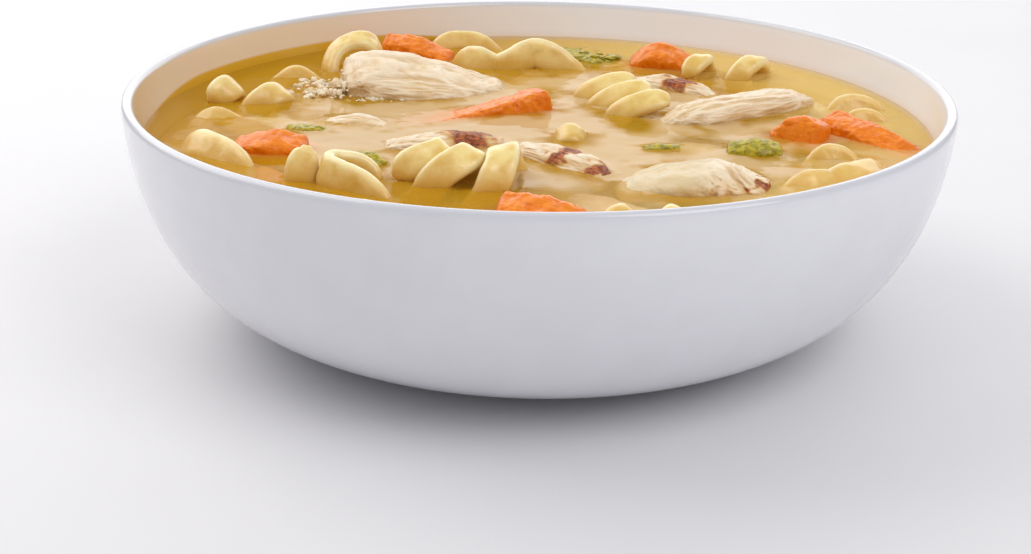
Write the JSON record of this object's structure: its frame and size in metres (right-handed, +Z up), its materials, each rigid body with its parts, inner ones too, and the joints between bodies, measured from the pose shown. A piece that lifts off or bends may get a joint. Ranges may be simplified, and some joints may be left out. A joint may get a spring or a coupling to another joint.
{
  "type": "bowl of chicken noodle soup",
  "caption": "Plain white coupe bowl filled nearly to the rim with golden chicken broth, with curled egg noodles, pulled and grilled chicken, carrot chunks and celery half sunk in it.",
  "frame": {"origin": "centre of the foot ring, on the table", "axes": "+Z up, square to the rim; -Y is the front; the bowl is round about +Z"},
  "size_m": [0.178, 0.178, 0.051],
  "materials": {
    "white_glaze": "smooth white glazed ceramic",
    "golden_broth": "wet, glossy, translucent golden broth",
    "egg_noodle": "soft, wet egg noodle with a satin sheen",
    "chicken": "moist fibrous white chicken with some browned patches",
    "carrot": "wet cooked carrot",
    "celery": "wet cooked celery, translucent green"
  },
  "bodies": {
    "root": {"bowl": "white_glaze", "broth": "golden_broth", "carrot_back_left": "carrot", "carrot_back_right": "carrot", "carrot_front": "carrot", "carrot_left": "carrot", "carrot_middle": "carrot", "carrot_near_rim": "carrot", "carrot_right": "carrot", "carrot_stick": "carrot", "celery_back": "celery", "celery_front": "celery", "celery_near_rim": "celery", "celery_right": "celery", "celery_slip_left": "celery", "celery_slip_right": "celery", "chicken_behind_noodle": "chicken", "chicken_charred": "chicken", "chicken_front": "chicken", "chicken_grilled": "chicken", "chicken_large": "chicken", "chicken_near_rim": "chicken", "chicken_small": "chicken", "chicken_strip": "chicken", "noodle_arch": "egg_noodle", "noodle_back": "egg_noodle", "noodle_back_right": "egg_noodle", "noodle_by_carrot": "egg_noodle", "noodle_fold": "egg_noodle", "noodle_front": "egg_noodle", "noodle_front_right": "egg_noodle", "noodle_leaf": "egg_noodle", "noodle_left": "egg_noodle", "noodle_low_left": "egg_noodle", "noodle_middle": "egg_noodle", "noodle_near_left": "egg_noodle", "noodle_near_rim": "egg_noodle", "noodle_right": "egg_noodle", "noodle_right_edge": "egg_noodle", "noodle_right_low": "egg_noodle", "noodle_tip_left": "egg_noodle", "noodle_tongue": "egg_noodle", "noodle_wave": "egg_noodle"}
  },
  "joints": []
}
